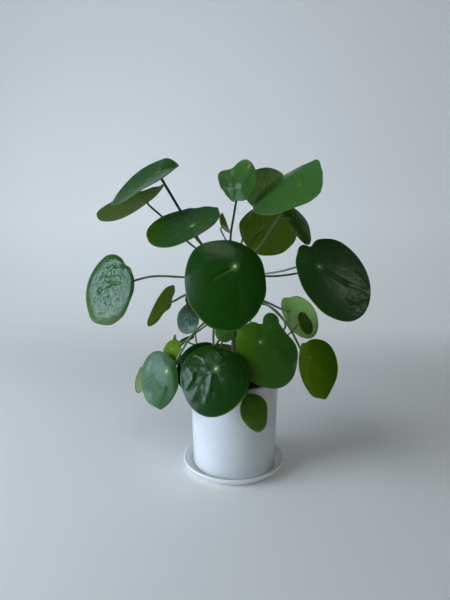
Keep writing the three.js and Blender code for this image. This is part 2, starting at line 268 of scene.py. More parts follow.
# PAINTED_SHADE_GREEN is painted shade: a near-black green for a leaf that sits in shade behind the
# leaves in front of it.
PAINTED_SHADE_GREEN = (10, 40, 5)
DEEP_GREEN = (25, 65, 10)
MOSS_GREEN = (60, 90, 10)
LEAF_GREEN = (45, 85, 35)
SOFT_GREEN = (65, 110, 45)
FRESH_GREEN = (75, 120, 15)
OLIVE_GREEN = (90, 120, 25)
BLUE_GREEN = (85, 115, 90)
LIME_GREEN = (120, 160, 10)
PALE_GREEN = (125, 160, 85)
# CREAM_GREEN is painted light: a very pale green that stands in for daylight shining through a thin
# blade.
CREAM_GREEN = (220, 240, 185)
YELLOW_GREEN = (155, 155, 55)
UNDER_GREEN = (90, 110, 50)
EDGE_GREEN = (80, 110, 50)
STALK_GREEN = (90, 105, 50)
STALK_OLIVE = (115, 135, 70)
STALK_PALE = (125, 140, 100)
STALK_DARK = (40, 40, 30)
STALK_BROWN = (75, 60, 40)


def leaf(name, at, face, rim, lift, root, via, radius=STALK_RADIUS, neck=NECK,
         green=LEAF_GREEN, under=UNDER_GREEN, second=None, toward=0, spread=1.0,
         quilt=0.25, crumple=0.02, crumpled=(), shine=2, dot=1.0, curl=0.0,
         stalk=STALK_GREEN, edge=EDGE_GREEN, marks=(), folds=(), young=False):
    """One leaf's shape, as in the part's source, and its colours.

    green and under are the two sides' colours. second is a colour that green turns to
    towards the angle `toward`, measured round the blade from its tip to the viewer's left.
    quilt is how puckered the blade is between its veins, crumple how rough in between,
    shine 2 is glossy, 1 satin and 0 dull, and curl how far the rim bends back, in mm.
    Places on the blade are given by such an angle and a share of the reach:
    crumpled is (angle, share, radius in mm, amount) of spots that are rougher,
    marks are (angle, width in degrees, mm outwards, mm upwards) along the rim, and
    folds are ridges, or hollows where the height is negative, from one place to another:
    (angle, share, angle, share, width in mm, height in mm).
    """
    return dict(name=name, at=np.array(at, float), face=face, rim=rim, lift=lift, root=root,
                via=[np.array(p, float) for p in via], radius=radius, neck=neck,
                green=linear(*green), under=linear(*under),
                second=linear(*(second or green)), toward=toward, spread=spread,
                quilt=quilt, crumple=crumple, crumpled=crumpled, shine=shine, dot=dot, curl=curl,
                stalk=linear(*stalk), edge=linear(*edge), marks=marks, folds=folds, young=young)


TRUNK_LEAVES = [
    leaf("front", (0, -108, 258), (-8, 20, -20), (64, 54, 46, 32, 25, 26, 32, 52), -6, 244,
         [(2, -50, 262)],
         shine=1, green=DEEP_GREEN, quilt=0.02,
         marks=((338, 9, 2.6, 0), (14, 13, -2.2, 0), (96, 18, 2, 0), (304, 10, -1.8, 0)),
         folds=((39, 0.05, 39, 0.42, 1.8, -0.7), (75, 0.6, 60, 0.9, 6, 0.5),
                (330, 0.4, 335, 0.8, 6, -0.5))),
    leaf("right", (93, -50, 254), (25, 33, 18), (68, 44, 29, 27, 29, 43, 61, 68), -4, 238,
         [(52, -28, 247), (76, -42, 254)],
         radius=1.1, stalk=STALK_PALE, quilt=0.04,
         crumpled=((335, 0.78, 15, 0.5), (306, 0.8, 11, 0.4), (350, 0.85, 8, 0.4), (214, 0.75, 7, 0.2)),
         marks=((200, 11, -5.8, 0), (172, 17, 4, 0), (244, 16, 2.8, 0), (32, 12, 2, 0)),
         folds=((330, 0.1, 325, 0.5, 2.6, -0.7), (325, 0.5, 318, 0.9, 3.0, -0.6),
                (345, 0.7, 325, 0.95, 4, 0.6), (300, 0.75, 312, 0.9, 4, 0.5))),
    leaf("upper_left", (-85, -38, 356.5), (-43, 49, -36), (60, 45, 37, 26, 24, 26, 34, 37),
         (-3, 0, 0, 1, -5, -1, 3, 2), 250, [(-45, 4, 283), (-67, 0, 321)],
         radius=1.6, shine=1, stalk=STALK_DARK, dot=0.3, quilt=0.06,
         marks=((60, 30, 0, 1.6), (2, 7, 2.6, 0))),
    leaf("far_left", (-110, 26, 331), (-101, 62, 25), (63, 63, 37, 27, 29, 27, 35, 59),
         (9, 3, 8, 8, 9, 8, 3, 5), 243, [(-57, 20, 279), (-91, 30, 311)],
         under=OLIVE_GREEN, stalk=STALK_DARK, quilt=0.1,
         marks=((40, 20, 0, 2.4), (222, 22, 0, -2.6))),
    leaf("middle_left", (-46, -53, 298.5), (-36, 56, -56), (52, 66, 43, 36, 32, 30, 32, 43), 1, 247,
         [(-36, -14, 275)],
         second=MOSS_GREEN, toward=20, spread=0.25, stalk=STALK_DARK, quilt=0.05,
         marks=((84, 7, 2.5, 0), (99, 8, -1.5, 0), (145, 7, 2.0, 0))),
    leaf("top_centre", (2, -10, 343), (-22, 14, 168), (35, 31, 25, 21, 20, 17, 17, 15, 17, 23, 28, 26),
         -1.5, 248, [(-5, -6, 283), (0, -4, 318)],
         green=SOFT_GREEN, stalk=STALK_DARK, dot=0.35, quilt=0.08,
         marks=((294, 14, 5.3, -1.5), (162, 14, -1.3, 0), (28, 22, -1.1, 0), (248, 12, -1.2, 0)),
         folds=((15, 0.85, 340, 0.5, 5, 1.0), (25, 0.7, 40, 0.3, 6, 1.4), (318, 0.8, 300, 0.35, 5, 1.5),
                (181, 0.15, 181, 0.75, 1.2, -0.4))),
    leaf("top_back", (38, 35, 353), (-170, 27, -25), (36, 31, 25, 21, 22, 27, 29, 33), -3, 250,
         [(9, 14, 281), (22, 30, 316)],
         under=PALE_GREEN, stalk=STALK_OLIVE),
    leaf("upper_right", (71, -30, 344), (-42, 47, -72),
         (58, 60, 54, 42, 39, 30, 27, 33, 42, 43, 51, 55), (-6, -9, -8, -1, 3, 0, 0, 0, 0, 0, 0, -3),
         249, [(33, -4, 280), (54, -10, 313)],
         green=SOFT_GREEN, stalk=STALK_OLIVE, dot=0.2, quilt=0.05,
         marks=((112, 8, 1.8, 0), (137, 14, -1.7, 0), (224, 8, 1.4, 0), (345, 16, 2, 0),
                (180, 12, 0.6, 0))),
    leaf("back_centre", (38, 55, 298), (176, 27, -47), (45, 43, 36, 32, 31, 31, 33, 38), -3, 243,
         [(22, 28, 281)],
         under=OLIVE_GREEN, stalk=STALK_OLIVE, quilt=0.05,
         marks=((4, 12, -1.4, 0), (208, 16, 1.8, 0), (302, 22, 1.8, 0))),
    leaf("narrow_right", (73, 10, 307), (48, 30, 8), (34, 17, 12, 20, 18, 23, 28, 30), -2, 242,
         [(33, 3, 278), (52, 6, 310)],
         shine=1, green=FRESH_GREEN, stalk=STALK_OLIVE, dot=0.0, quilt=0.1,
         marks=((20, 16, -2, 0),)),
    leaf("pale_right", (70, 20, 194), (133, 13, -42), (44, 40, 28, 17, 18, 16, 18, 30), 3, 224,
         [(47, 18, 202), (61, 20, 195)],
         under=PALE_GREEN, stalk=STALK_PALE),
    # low_right's lime green is partly its own yellowish colour and partly painted light shining through
    # the blade; its darker second green, on the half turned from the daylight, is painted shade.
    leaf("low_right", (90, -20, 143), (44, 18, 0), (50, 36, 24, 21, 20, 28, 45, 51), 3, 222,
         [(38, -4, 206), (64, -9, 181)],
         shine=0, green=LIME_GREEN, second=FRESH_GREEN, toward=270, spread=0.9, stalk=STALK_PALE,
         quilt=0.06,
         marks=((328, 16, -2.0, 0), (350, 6, 1.4, 0), (4, 8, -1.8, 0), (56, 24, -1.8, 0),
                (148, 12, 2.4, 0), (285, 30, 1.8, 0)),
         folds=((24, 0.15, 23, 0.56, 5, -1.0), (23, 0.56, 5, 0.95, 5, -0.9))),
    leaf("low_centre", (29, -52, 170), (13, 38, 14), (56, 43, 29, 27, 28, 30, 36, 46), -4, 212,
         [(16, -24, 194)],
         green=FRESH_GREEN, second=SOFT_GREEN, toward=300, spread=0.9, stalk=STALK_OLIVE, quilt=0.03,
         marks=((205, 12, -3.6, 0), (242, 9, 5.0, 0), (256, 8, 1.5, 0), (292, 20, 2.6, 0),
                (148, 12, 2, 0), (10, 24, -1.6, 0)),
         folds=((330, 0.55, 330, 0.8, 8, 0.9),)),
    leaf("low_front", (-20, -76, 146), (-18, 27, -5), (51, 46, 41, 32, 25, 28, 37, 44), -6, 198,
         [(-20, -14, 196), (-24, -42, 172)],
         green=DEEP_GREEN, quilt=0.12, crumple=0.03, curl=0.5,
         crumpled=((75, 0.6, 15, 0.22), (10, 0.5, 10, 0.2)),
         marks=((262, 22, -2.0, 0), (66, 48, -2.0, 5.0)),
         folds=((94, 0.93, 112, 0.84, 2.0, 0.5), (112, 0.84, 118, 0.55, 2.0, 0.55),
                (118, 0.55, 107, 0.38, 1.8, 0.4), (83, 0.76, 66, 0.61, 2.0, 0.6),
                (66, 0.61, 56, 0.62, 2.0, 0.6), (56, 0.62, 47, 0.84, 2.0, 0.55),
                (20, 0.14, 4, 0.45, 3.0, 0.9), (4, 0.45, 5, 0.7, 3.0, 0.5),
                (166, 0.74, 194, 0.56, 2.4, 0.7), (302, 0.36, 302, 0.48, 2.6, 0.5),
                (66, 0.5, 45, 0.2, 1.6, -0.4), (70, 0.97, 52, 0.95, 2.2, 0.6),
                (30, 0.6, 28, 0.85, 3.0, 0.4))),
    # low_behind is painted a near-black green: painted shade for the shade it sits in behind low_front.
    leaf("low_behind", (-36, -45, 147), (-22, 28, -5), (42, 38, 30, 24, 22, 24, 30, 38), -3, 190,
         [(-16, -20, 168)],
         shine=0, green=PAINTED_SHADE_GREEN),
    # low_left turns to the lighter blue green towards one side: a painted reflection of the daylight on
    # the side that faces it.
    leaf("low_left", (-79, -40, 132), (-36, 19, -26), (47, 43, 37, 19, 14, 13, 20, 38), -4, 206,
         [(-47, -22, 175)],
         shine=1, second=BLUE_GREEN, toward=75, spread=0.8, stalk=STALK_OLIVE, quilt=0.06, crumple=0.06,
         marks=((333, 6, 1.6, 0), (352, 12, -1.2, 0), (304, 18, -2.8, 0), (70, 26, 1.6, 0)),
         folds=((30, 0.85, 35, 0.45, 2.6, 0.7), (35, 0.4, 350, 0.38, 2.6, 0.5),
                (350, 0.38, 323, 0.48, 2.6, 0.7), (323, 0.48, 338, 0.88, 2.6, 0.9),
                (8, 0.72, 10, 0.74, 8, -2.0), (75, 0.85, 60, 0.85, 4, 0.5))),
    # narrow_left's lime underside is partly the underside's own paler colour and partly painted light:
    # daylight shining through the blade from behind.
    leaf("narrow_left", (-84, 10, 208), (-102, 26, 33), (40, 26, 23, 23, 21, 20, 29, 35), 3, 226,
         [(-58, 8, 216)],
         under=LIME_GREEN, stalk=STALK_PALE,
         marks=((90, 24, 0, -5.0), (35, 24, 0, -2.4), (140, 18, 0, -1))),
    leaf("left", (-138, -10, 231), (-32, 12, -58), (65, 56, 42, 24, 20, 21, 32, 53), -3, 236,
         [(-61, -2, 238), (-100, -6, 239)],
         second=MOSS_GREEN, toward=340, spread=0.3, edge=LEAF_GREEN, quilt=0.25, crumple=0.2, curl=0.9,
         crumpled=((10, 0.35, 26, 1.0), (70, 0.5, 16, 0.6)),
         marks=((124, 12, -2.8, 0), (104, 8, -1.0, 0), (150, 9, 1.0, 0), (270, 26, -3.4, 0),
                (302, 12, -1.2, 0), (344, 12, 3.4, 0), (77, 10, 1.2, 0)),
         folds=((42, 0.06, 28, 0.3, 2.4, -1.2), (28, 0.3, 14, 0.6, 3.2, -1.5),
                (150, 0.1, 150, 0.5, 2.4, -0.6))),
    leaf("yellow", (-76, -15, 152), (-46, 17, 6), (22, 20, 17, 14, 12, 14, 17, 20), -3, 200,
         [(-46, -12, 172)],
         radius=1.1, shine=0, green=OLIVE_GREEN, under=PALE_GREEN, dot=0.2,
         marks=((174, 9, 6.5, 0), (80, 30, 2.5, 0), (268, 34, -2.6, 0))),
    leaf("behind_right", (104, 42, 247), (120, 30, 0), (42, 36, 28, 24, 22, 24, 28, 36), -3, 240,
         [(60, 34, 237)]),
    leaf("behind_front", (-8, 100, 250), (178, 24, 6), (58, 50, 40, 31, 27, 31, 40, 50), -4, 236,
         [(-4, 52, 252)]),
    leaf("behind_centre", (40, 72, 140), (150, 30, -4), (42, 38, 31, 25, 22, 25, 31, 38), -4, 206,
         [(40, 6, 203), (66, 30, 172)]),
    leaf("behind_low", (-24, 78, 121), (-160, 26, 4), (46, 40, 32, 26, 23, 26, 32, 40), -4, 194,
         [(-14, 42, 158)]),
    leaf("behind_left", (-32, 70, 222), (-145, 40, 6), (48, 42, 33, 27, 24, 27, 33, 42), -3, 230,
         [(-18, 36, 232)]),
    leaf("newest", (-14, 14, 300), (68, 48, 180), (11, 11, 10, 11, 13, 11, 10, 11),
         (11, 7, 2, 0, 0, 0, 2, 7), 251, [(-10, 15, 280)],
         radius=0.9, neck=5, young=True, green=YELLOW_GREEN, under=YELLOW_GREEN),
]
LEFT_SHOOT_LEAVES = [
    leaf("young_blue", (-57, 25, 188), (-42, 14, -15), (26, 27, 23, 15, 10, 11, 16, 22), -2, 123,
         [(-46, 27, 142), (-51, 27, 168)],
         radius=1, neck=8, young=True, green=BLUE_GREEN, dot=0.3,
         marks=((20, 30, 1.6, 0), (95, 18, -1.8, 0))),
    leaf("young_level", (-58, 4, 160), (-74, 69, 0), (12, 11, 10, 9, 9, 9, 10, 11), 1, 127,
         [(-40, 12, 148)],
         radius=0.9, neck=5, young=True, shine=0, green=DEEP_GREEN, dot=0.0),
    # young_pale's cream underside is painted light, for daylight shining through the blade from behind.
    leaf("young_pale", (-117, 4, 119), (-104, 8, 10), (28, 26, 20, 16, 14, 16, 20, 26), -2, 118,
         [(-44, 14, 130), (-84, 8, 138)],
         radius=1, neck=8, young=True, green=PALE_GREEN, under=CREAM_GREEN,
         marks=((215, 30, -7, 0), (270, 30, -4, 0), (312, 18, -2, 0))),
]
RIGHT_SHOOT_LEAVES = [
    leaf("young_pot", (18, -66, 109), (30, 16, 20), (39, 25, 12, 6, 6, 6, 10, 25), -3, 122,
         [(15, -42, 126)],
         radius=1, neck=5, young=True, green=FRESH_GREEN, edge=LIME_GREEN, dot=0.0,
         marks=((337, 16, -3.0, 0), (12, 8, 1.2, 0))),
    leaf("young_peek", (44, -12, 188), (12, 22, 0), (14, 12, 10, 9, 9, 9, 10, 12), -1, 135,
         [(32, -8, 158)],
         radius=0.9, neck=6, young=True, green=SOFT_GREEN, dot=0.0),
    leaf("young_under", (-11, -28, 178), (-6, 24, 0), (14, 13, 12, 11, 11, 11, 12, 13), -1, 131,
         [(4, -16, 156)],
         radius=0.9, neck=6, young=True, green=SOFT_GREEN, dot=0.4),
    leaf("young_dark", (84, -14, 188), (30, 24, 10), (18, 13, 9, 10, 11, 9, 8, 13), -1, 129,
         [(54, -18, 161)],
         radius=0.9, neck=6, young=True, green=MOSS_GREEN, dot=0.0),
]


def around(values, phi):
    """Smooth closed curve through evenly spaced values, read at the angles phi."""
    if not isinstance(values, tuple):
        return np.full_like(phi, float(values))
    ring = np.array(values, float)
    t = phi / math.tau * len(ring)
    k = np.floor(t).astype(int)
    f = t - k
    a, b, c, d = (ring[(k + s) % len(ring)] for s in (-1, 0, 1, 2))
    return (b + f * (c - a) / 2 + f**2 * (2 * a - 5 * b + 4 * c - d) / 2
            + f**3 * (3 * b - a - 3 * c + d) / 2)


def turned_by(phi, angle):
    """Degrees from an angle given in degrees, between -180 and 180."""
    return (np.degrees(phi) - angle + 180) % 360 - 180


def spot_on(leaf, angle, share):
    """A place on the blade's plane, in mm."""
    turn = np.radians([angle])
    r = share * around(leaf["rim"], turn)[0]
    return r * math.sin(turn[0]), r * math.cos(turn[0])


def blade_axes(face):
    """The blade's own directions: its normal, from the dot to the tip, and across."""
    az, el, turn = (math.radians(v) for v in face)
    normal = np.array([math.sin(az) * math.cos(el), -math.cos(az) * math.cos(el), math.sin(el)])
    down = np.array([math.sin(az) * math.sin(el), -math.cos(az) * math.sin(el), -math.cos(el)])
    side = np.cross(normal, down)
    tip = down * math.cos(turn) + side * math.sin(turn)
    return normal, tip, np.cross(tip, normal)


def vein_offset(rho, phi):
    """How far a point is from the nearest main vein, as a share of the veins' spacing."""
    source = phi + VEIN_ARC * rho * np.sin(phi) + VEIN_WOBBLE * np.sin(5 * phi + 9 * rho)
    t = source * VEIN_COUNT / math.tau
    return np.abs(t - np.round(t))


def fold_height(leaf, rho, x, y):
    """Height that a blade's ridges and hollows add, in mm."""
    height = np.zeros_like(x)
    for angle, share, end_angle, end_share, width, rise in leaf["folds"]:
        ax, ay = spot_on(leaf, angle, share)
        bx, by = spot_on(leaf, end_angle, end_share)
        length = max(math.hypot(bx - ax, by - ay), 0.01)
        ux, uy = (bx - ax) / length, (by - ay) / length
        along = np.clip((x - ax) * ux + (y - ay) * uy, 0, length)
        away = np.hypot(x - ax - along * ux, y - ay - along * uy)
        height += rise * np.exp(-((away / width) ** 2)) * smooth(0, 1, (1.06 - rho) / 0.12)
    return height


def relief(leaf, rho, phi, reach):
    """Height of the blade's middle surface over its broad form, in mm."""
    rng = random.Random(leaf["name"])
    r = reach * rho
    x, y = r * np.sin(phi), r * np.cos(phi)
    offset = vein_offset(rho, phi)
    apart = offset * r * math.tau / VEIN_COUNT
    inside = 1 - rho**4
    size = min(1.0, float(np.mean(reach)) / 35)
    valley = 0.03 + 0.45 * leaf["quilt"]
    height = -valley * size * np.exp(-(apart / VALLEY_WIDTH) ** 2) * inside * smooth(0, 0.12, rho)
    height += 0.8 * size * leaf["quilt"] * (2 * offset) ** 2 * smooth(0, 0.3, rho) * inside
    ribs = np.cos(math.tau * (r - 0.55 * apart) / RIB_SPACING + rng.uniform(0, 6))
    height += 0.16 * leaf["quilt"] * ribs * smooth(0.15, 0.4, rho) * inside
    for _ in range(5):
        angle, wave = rng.uniform(0, math.pi), rng.uniform(9, 20)
        phase = rng.uniform(0, math.tau)
        along = x * math.cos(angle) + y * math.sin(angle)
        height += 0.022 * wave * leaf["quilt"] * np.cos(math.tau * along / wave + phase) * inside
    for count in (3, 5, 8):
        swing = size * rng.uniform(0.5, 1.2) / count
        height += swing * rho**3 * np.cos(count * phi + rng.uniform(0, math.tau))
    height += fold_height(leaf, rho, x, y)
    height -= leaf["curl"] * smooth(0.8, 1.0, rho) ** 1.5
    height -= 0.5 * size * np.exp(-(r / DOT_RADIUS) ** 2)
    return height


def blade_mesh(leaf, axes):
    """Points, faces, face materials and attributes of both sides of a blade."""
    normal, tip, across = axes
    coarser = 2 if leaf["young"] else 1
    spokes = BLADE_SPOKES // coarser
    upper_rings = UPPER_RINGS // coarser
    lower_rings = LOWER_RINGS // coarser
    phi = np.linspace(0, math.tau, spokes, endpoint=False)
    reach = around(leaf["rim"], phi)
    lift = around(leaf["lift"], phi)
    for angle, width, out, rise in leaf["marks"]:
        swell = np.exp(-(turned_by(phi, angle) / width) ** 2)
        reach = reach + out * swell
        lift = lift + rise * swell
    half = BLADE_THICKNESS / 2
    border = half / float(np.mean(reach))   # the rounded edge, as a share of the blade
    points, where, tones, looks = [], [], [], []

    def ring(rho, side, thick):
        """side is 1 on the upper side and -1 below."""
        share = np.full(spokes, rho)
        r = reach * share
        x, y = r * np.sin(phi), r * np.cos(phi)
        height = lift * share**2 - half + relief(leaf, share, phi, reach)
        height = height + side * thick * half
        spot = (leaf["at"] + x[:, None] * across + y[:, None] * tip + height[:, None] * normal)
        points.append(spot)
        where.append(np.c_[x, y, share])
        # On low_right the second colour is painted shade, and on low_left a painted reflection.
        lean = 0.5 + 0.5 * rho * np.cos(phi - math.radians(leaf["toward"]))
        turned = smooth(1 - leaf["spread"], 1, lean) if leaf["spread"] > 0 else lean * 0
        top = mixed(leaf["green"], leaf["second"], turned)
        colour = top if side > 0 else np.tile(leaf["under"], (spokes, 1))
        rim_share = smooth(1 - 2.5 * border, 1, share) * 0.6
        tones.append(mixed(colour, leaf["edge"], rim_share))
        rough = np.full(spokes, leaf["crumple"])
        for angle, place, radius, amount in leaf["crumpled"]:
            px, py = spot_on(leaf, angle, place)
            rough += amount * np.exp(-((x - px) ** 2 + (y - py) ** 2) / radius**2)
        looks.append(np.c_[np.tile([leaf["quilt"], leaf["dot"]], (spokes, 1)), rough])

    inner = 1 - border
    upper = [inner * (k + 1) / upper_rings for k in range(upper_rings)]
    lower = [inner * (k + 1) / lower_rings for k in range(lower_rings)]
    for rho in upper:
        ring(rho, 1, 1)
    for step in EDGE_RINGS:
        ring(inner + border * step, 1, math.sqrt(1 - step**2))
    ring(1.0, 1, 0)
    for step in reversed(EDGE_RINGS):
        ring(inner + border * step, -1, math.sqrt(1 - step**2))
    for rho in reversed(lower):
        ring(rho, -1, 1)
    rows = len(points)
    points = np.concatenate(points)
    faces = [tuple(reversed(face)) for face in grid_faces(rows, spokes)]
    upper_rows = upper_rings + len(EDGE_RINGS) + 1
    slots = [0] * ((upper_rows - 1) * spokes) + [1] * ((rows - upper_rows) * spokes)
    centre = np.zeros(1)
    middle = leaf["at"] + normal * float(relief(leaf, centre, centre, reach[:1])[0])
    points = np.concatenate([points, [middle, middle - normal * BLADE_THICKNESS]])
    where = np.concatenate([*where, np.zeros((2, 3))])
    tones = np.concatenate([*tones, [leaf["green"], leaf["under"]]])
    looks = np.concatenate([*looks, [looks[0][0]] * 2])
    faces += end_fans(rows, spokes, len(points) - 2, len(points) - 1)
    slots += [0, 1] * spokes
    return points, faces, slots, where, tones, looks


def stem_radius(stem, z):
    swell = smooth(stem["crown_from"], stem["crown_from"] + 20, np.asarray(z, float))
    return stem["radius"] + (stem["crown"] - stem["radius"]) * swell


def spline(knots, count):
    """Centripetal Catmull-Rom curve through the knots: count + 1 points."""
    knots = [np.array(p, float) for p in knots]
    knots = [2 * knots[0] - knots[1], *knots, 2 * knots[-1] - knots[-2]]
    made = []
    spans = len(knots) - 3
    for step in range(count + 1):
        along = spans * step / count
        k = min(int(along), spans - 1)
        w = along - k
        p0, p1, p2, p3 = knots[k:k + 4]
        d0, d1, d2 = (math.sqrt(np.linalg.norm(b - a)) for a, b in ((p0, p1), (p1, p2), (p2, p3)))
        t1 = ((p1 - p0) / d0 - (p2 - p0) / (d0 + d1) + (p2 - p1) / d1) * d1
        t2 = ((p2 - p1) / d1 - (p3 - p1) / (d1 + d2) + (p3 - p2) / d2) * d1
        square = -3 * p1 + 3 * p2 - 2 * t1 - t2
        cube = 2 * p1 - 2 * p2 + t1 + t2
        made.append(p1 + t1 * w + square * w * w + cube * w**3)
    return np.array(made)


def stalk_path(leaf, axes, stem):
    """The stalk's middle line, from inside the stem to inside the blade."""
    normal = axes[0]
    foot = np.array([*stem["at"], 0], float)
    away = leaf["via"][0] - foot
    away[2] = 0
    away /= np.linalg.norm(away)
    start = foot + away * (float(stem_radius(stem, leaf["root"])) - 0.8)
    start[2] = leaf["root"]
    neck = leaf["at"] - normal * leaf["neck"]
    return spline([start, *leaf["via"], neck, leaf["at"] - normal * BLADE_THICKNESS * 0.6],
                  STALK_STEPS)


def distance_along(path):
    steps = np.linalg.norm(np.diff(path, axis=0), axis=1)
    return np.concatenate([[0], np.cumsum(steps)])


def tube(path, radii, sides):
    """Rows of points round a path, without twist."""
    along = np.gradient(path, axis=0)
    along /= np.linalg.norm(along, axis=1)[:, None]
    side = np.cross(along[0], (0, 0, 1.0))
    side /= np.linalg.norm(side)
    turns = np.arange(sides) * math.tau / sides
    rows = []
    for spot, direction, radius in zip(path, along, radii):
        side = side - direction * (side @ direction)
        side /= np.linalg.norm(side)
        other = np.cross(direction, side)
        rows.append(spot + radius * (np.cos(turns)[:, None] * side + np.sin(turns)[:, None] * other))
    return np.concatenate(rows)


def stalk_mesh(leaf, axes, stem):
    """Points, faces and attributes of a stalk, a little thicker at both ends."""
    path = stalk_path(leaf, axes, stem)
    along = distance_along(path)
    length = along[-1]
    radius = leaf["radius"]
    swell = 1 + 0.45 * np.exp(-along / 2.5) + 0.9 * np.exp(-(length - along) / 1.1)
    ripple = 1 + 0.03 * np.sin(along / 3.1 + leaf["root"])
    points = tube(path, radius * swell * ripple, STALK_SIDES)
    rows = len(path)
    faces = grid_faces(rows, STALK_SIDES) + end_caps(rows, STALK_SIDES)
    turns = np.tile(np.arange(STALK_SIDES) * math.tau / STALK_SIDES, rows)
    far = np.repeat(along, STALK_SIDES)
    where = np.c_[radius * np.cos(turns), radius * np.sin(turns), far]
    tones = mixed(linear(*STALK_BROWN), leaf["stalk"], smooth(0, 14, far))
    top = smooth(length - 12, length, far)
    tones = tones * (1 - 0.4 * top[:, None]) + np.array(leaf["under"]) * 0.4 * top[:, None]
    return points, faces, where, tones


def make_leaf(leaf, stem, looks_of):
    axes = blade_axes(leaf["face"])
    points, faces, slots, where, tones, looks = blade_mesh(leaf, axes)
    more, stalk_faces, stalk_where, stalk_tones = stalk_mesh(leaf, axes, stem)
    start = len(points)
    faces += [tuple(start + i for i in face) for face in stalk_faces]
    slots += [2] * len(stalk_faces)
    slot = "young_leaf" if leaf["young"] or leaf["name"] == "yellow" else "leaf"
    name = "leaf_" + leaf["name"]
    looks_of = [looks_of[leaf["shine"]], *looks_of[3:]]
    piece("seen_" + name, name, slot, np.concatenate([points, more]), faces, looks_of, slots,
          tone=np.concatenate([tones, stalk_tones]),
          plane=np.concatenate([where, stalk_where]),
          look=np.concatenate([looks, np.zeros((len(more), 3))]))


# Leaf materials

def vein_nodes(tree):
    """Radius, share of the reach, and distance to the nearest main vein, in mm."""
    plane = carried(tree, "plane")
    x, y, rho = put(tree, "SeparateXYZ", {0: plane}).outputs
    flat = put(tree, "CombineXYZ", {0: x, 1: y, 2: 0.0}).outputs[0]
    radius = put(tree, "VectorMath", {0: flat}, operation="LENGTH").outputs["Value"]
    phi = calc(tree, "ARCTAN2", x, y)
    bend = times(tree, times(tree, rho, VEIN_ARC), calc(tree, "SINE", phi))
    swing = plus(tree, times(tree, phi, 5.0), times(tree, rho, 9.0))
    wobble = times(tree, calc(tree, "SINE", swing), VEIN_WOBBLE)
    source = plus(tree, plus(tree, phi, bend), wobble)
    offset = calc(tree, "PINGPONG", times(tree, source, VEIN_COUNT / math.tau), 0.5)
    apart = times(tree, times(tree, offset, radius), math.tau / VEIN_COUNT)
    return flat, radius, rho, apart


def net(tree, flat, scale):
    """Distance to the borders of a mesh of cells, in cells, on bent coordinates."""
    bend = put(tree, "TexNoise", {"Vector": flat, "Scale": scale * 0.6, "Detail": 1.0})
    moved = put(tree, "VectorMath", {0: bend.outputs["Color"], 1: (0.5, 0.5, 0.5)},
                operation="SUBTRACT").outputs[0]
    moved = put(tree, "VectorMath", {0: moved, 3: 0.9 / scale}, operation="SCALE").outputs[0]
    vector = put(tree, "VectorMath", {0: flat, 1: moved}, operation="ADD").outputs[0]
    return put(tree, "TexVoronoi", {"Vector": vector, "Scale": scale},
               feature="DISTANCE_TO_EDGE").outputs["Distance"]


def main_veins(tree, rho, apart, broad, thin, fading, left):
    """How far a spot lies on a main vein. Veins thin out and fade towards the rim."""
    width = fade(tree, rho, 0.0, 1.0, broad, thin)
    main = fade(tree, calc(tree, "DIVIDE", apart, width), 0.2, 1.0, 1.0, 0.0)
    return times(tree, main, fade(tree, rho, fading, 1.0, 1.0, left))


def upper_material(name, refraction):
    """The blade's upper side. The mesh carries its puckering, its dot and its crumple."""
    made, tree, shader = material(name)
    flat, radius, rho, apart = vein_nodes(tree)
    look = put(tree, "SeparateXYZ", {0: carried(tree, "look")})
    quilt, dot, crumple = look.outputs
    patches = fade(tree, grain(tree, flat, 0.09, 3.0), 0.3, 0.7, 0.0, 0.35)
    tone = shaded(tree, carried(tree, "tone", "Color"), patches, (0.62, 0.72, 0.6))
    main = main_veins(tree, rho, apart, 0.75, 0.3, 0.45, 0.15)
    cells = net(tree, flat, 0.09)
    fine = net(tree, flat, 0.2)
    branch = fade(tree, cells, 0.0, 0.06, 1.0, 0.0)
    pale = tint(tree, 0.5, tone, (0.30, 0.42, 0.16))
    seen = times(tree, quilt, 0.22)
    tone = tint(tree, times(tree, main, seen), tone, pale)
    tone = tint(tree, times(tree, branch, times(tree, seen, 0.4)), tone, pale)
    glow = times(tree, fade(tree, radius, 1.2, 7.0, 0.4, 0.0), dot)
    tone = tint(tree, glow, tone, (0.17, 0.30, 0.07))
    spot = plus(tree, radius, times(tree, grain(tree, flat, 0.7), 1.2))
    spot = times(tree, fade(tree, spot, 1.5, 2.9, 1.0, 0.0), dot)
    wire(tree, tint(tree, spot, tone, (0.46, 0.58, 0.22)), shader, "Base Color")
    rough = fade(tree, grain(tree, flat, 0.07, 1.0), 0.3, 0.7, 0.21, 0.27)
    wire(tree, plus(tree, rough, times(tree, main, 0.08)), shader, "Roughness")
    shader.inputs["IOR"].default_value = refraction
    pillow = times(tree, fade(tree, fine, 0.0, 0.45), 0.34)
    large = times(tree, fade(tree, cells, 0.0, 0.4), 0.55)
    height = times(tree, plus(tree, pillow, large), crumple)
    sunk = times(tree, times(tree, main, quilt), 0.3)
    height = calc(tree, "SUBTRACT", height, sunk)
    bump(tree, plus(tree, height, times(tree, grain(tree, flat, 1.0), 0.002)), shader)
    return made


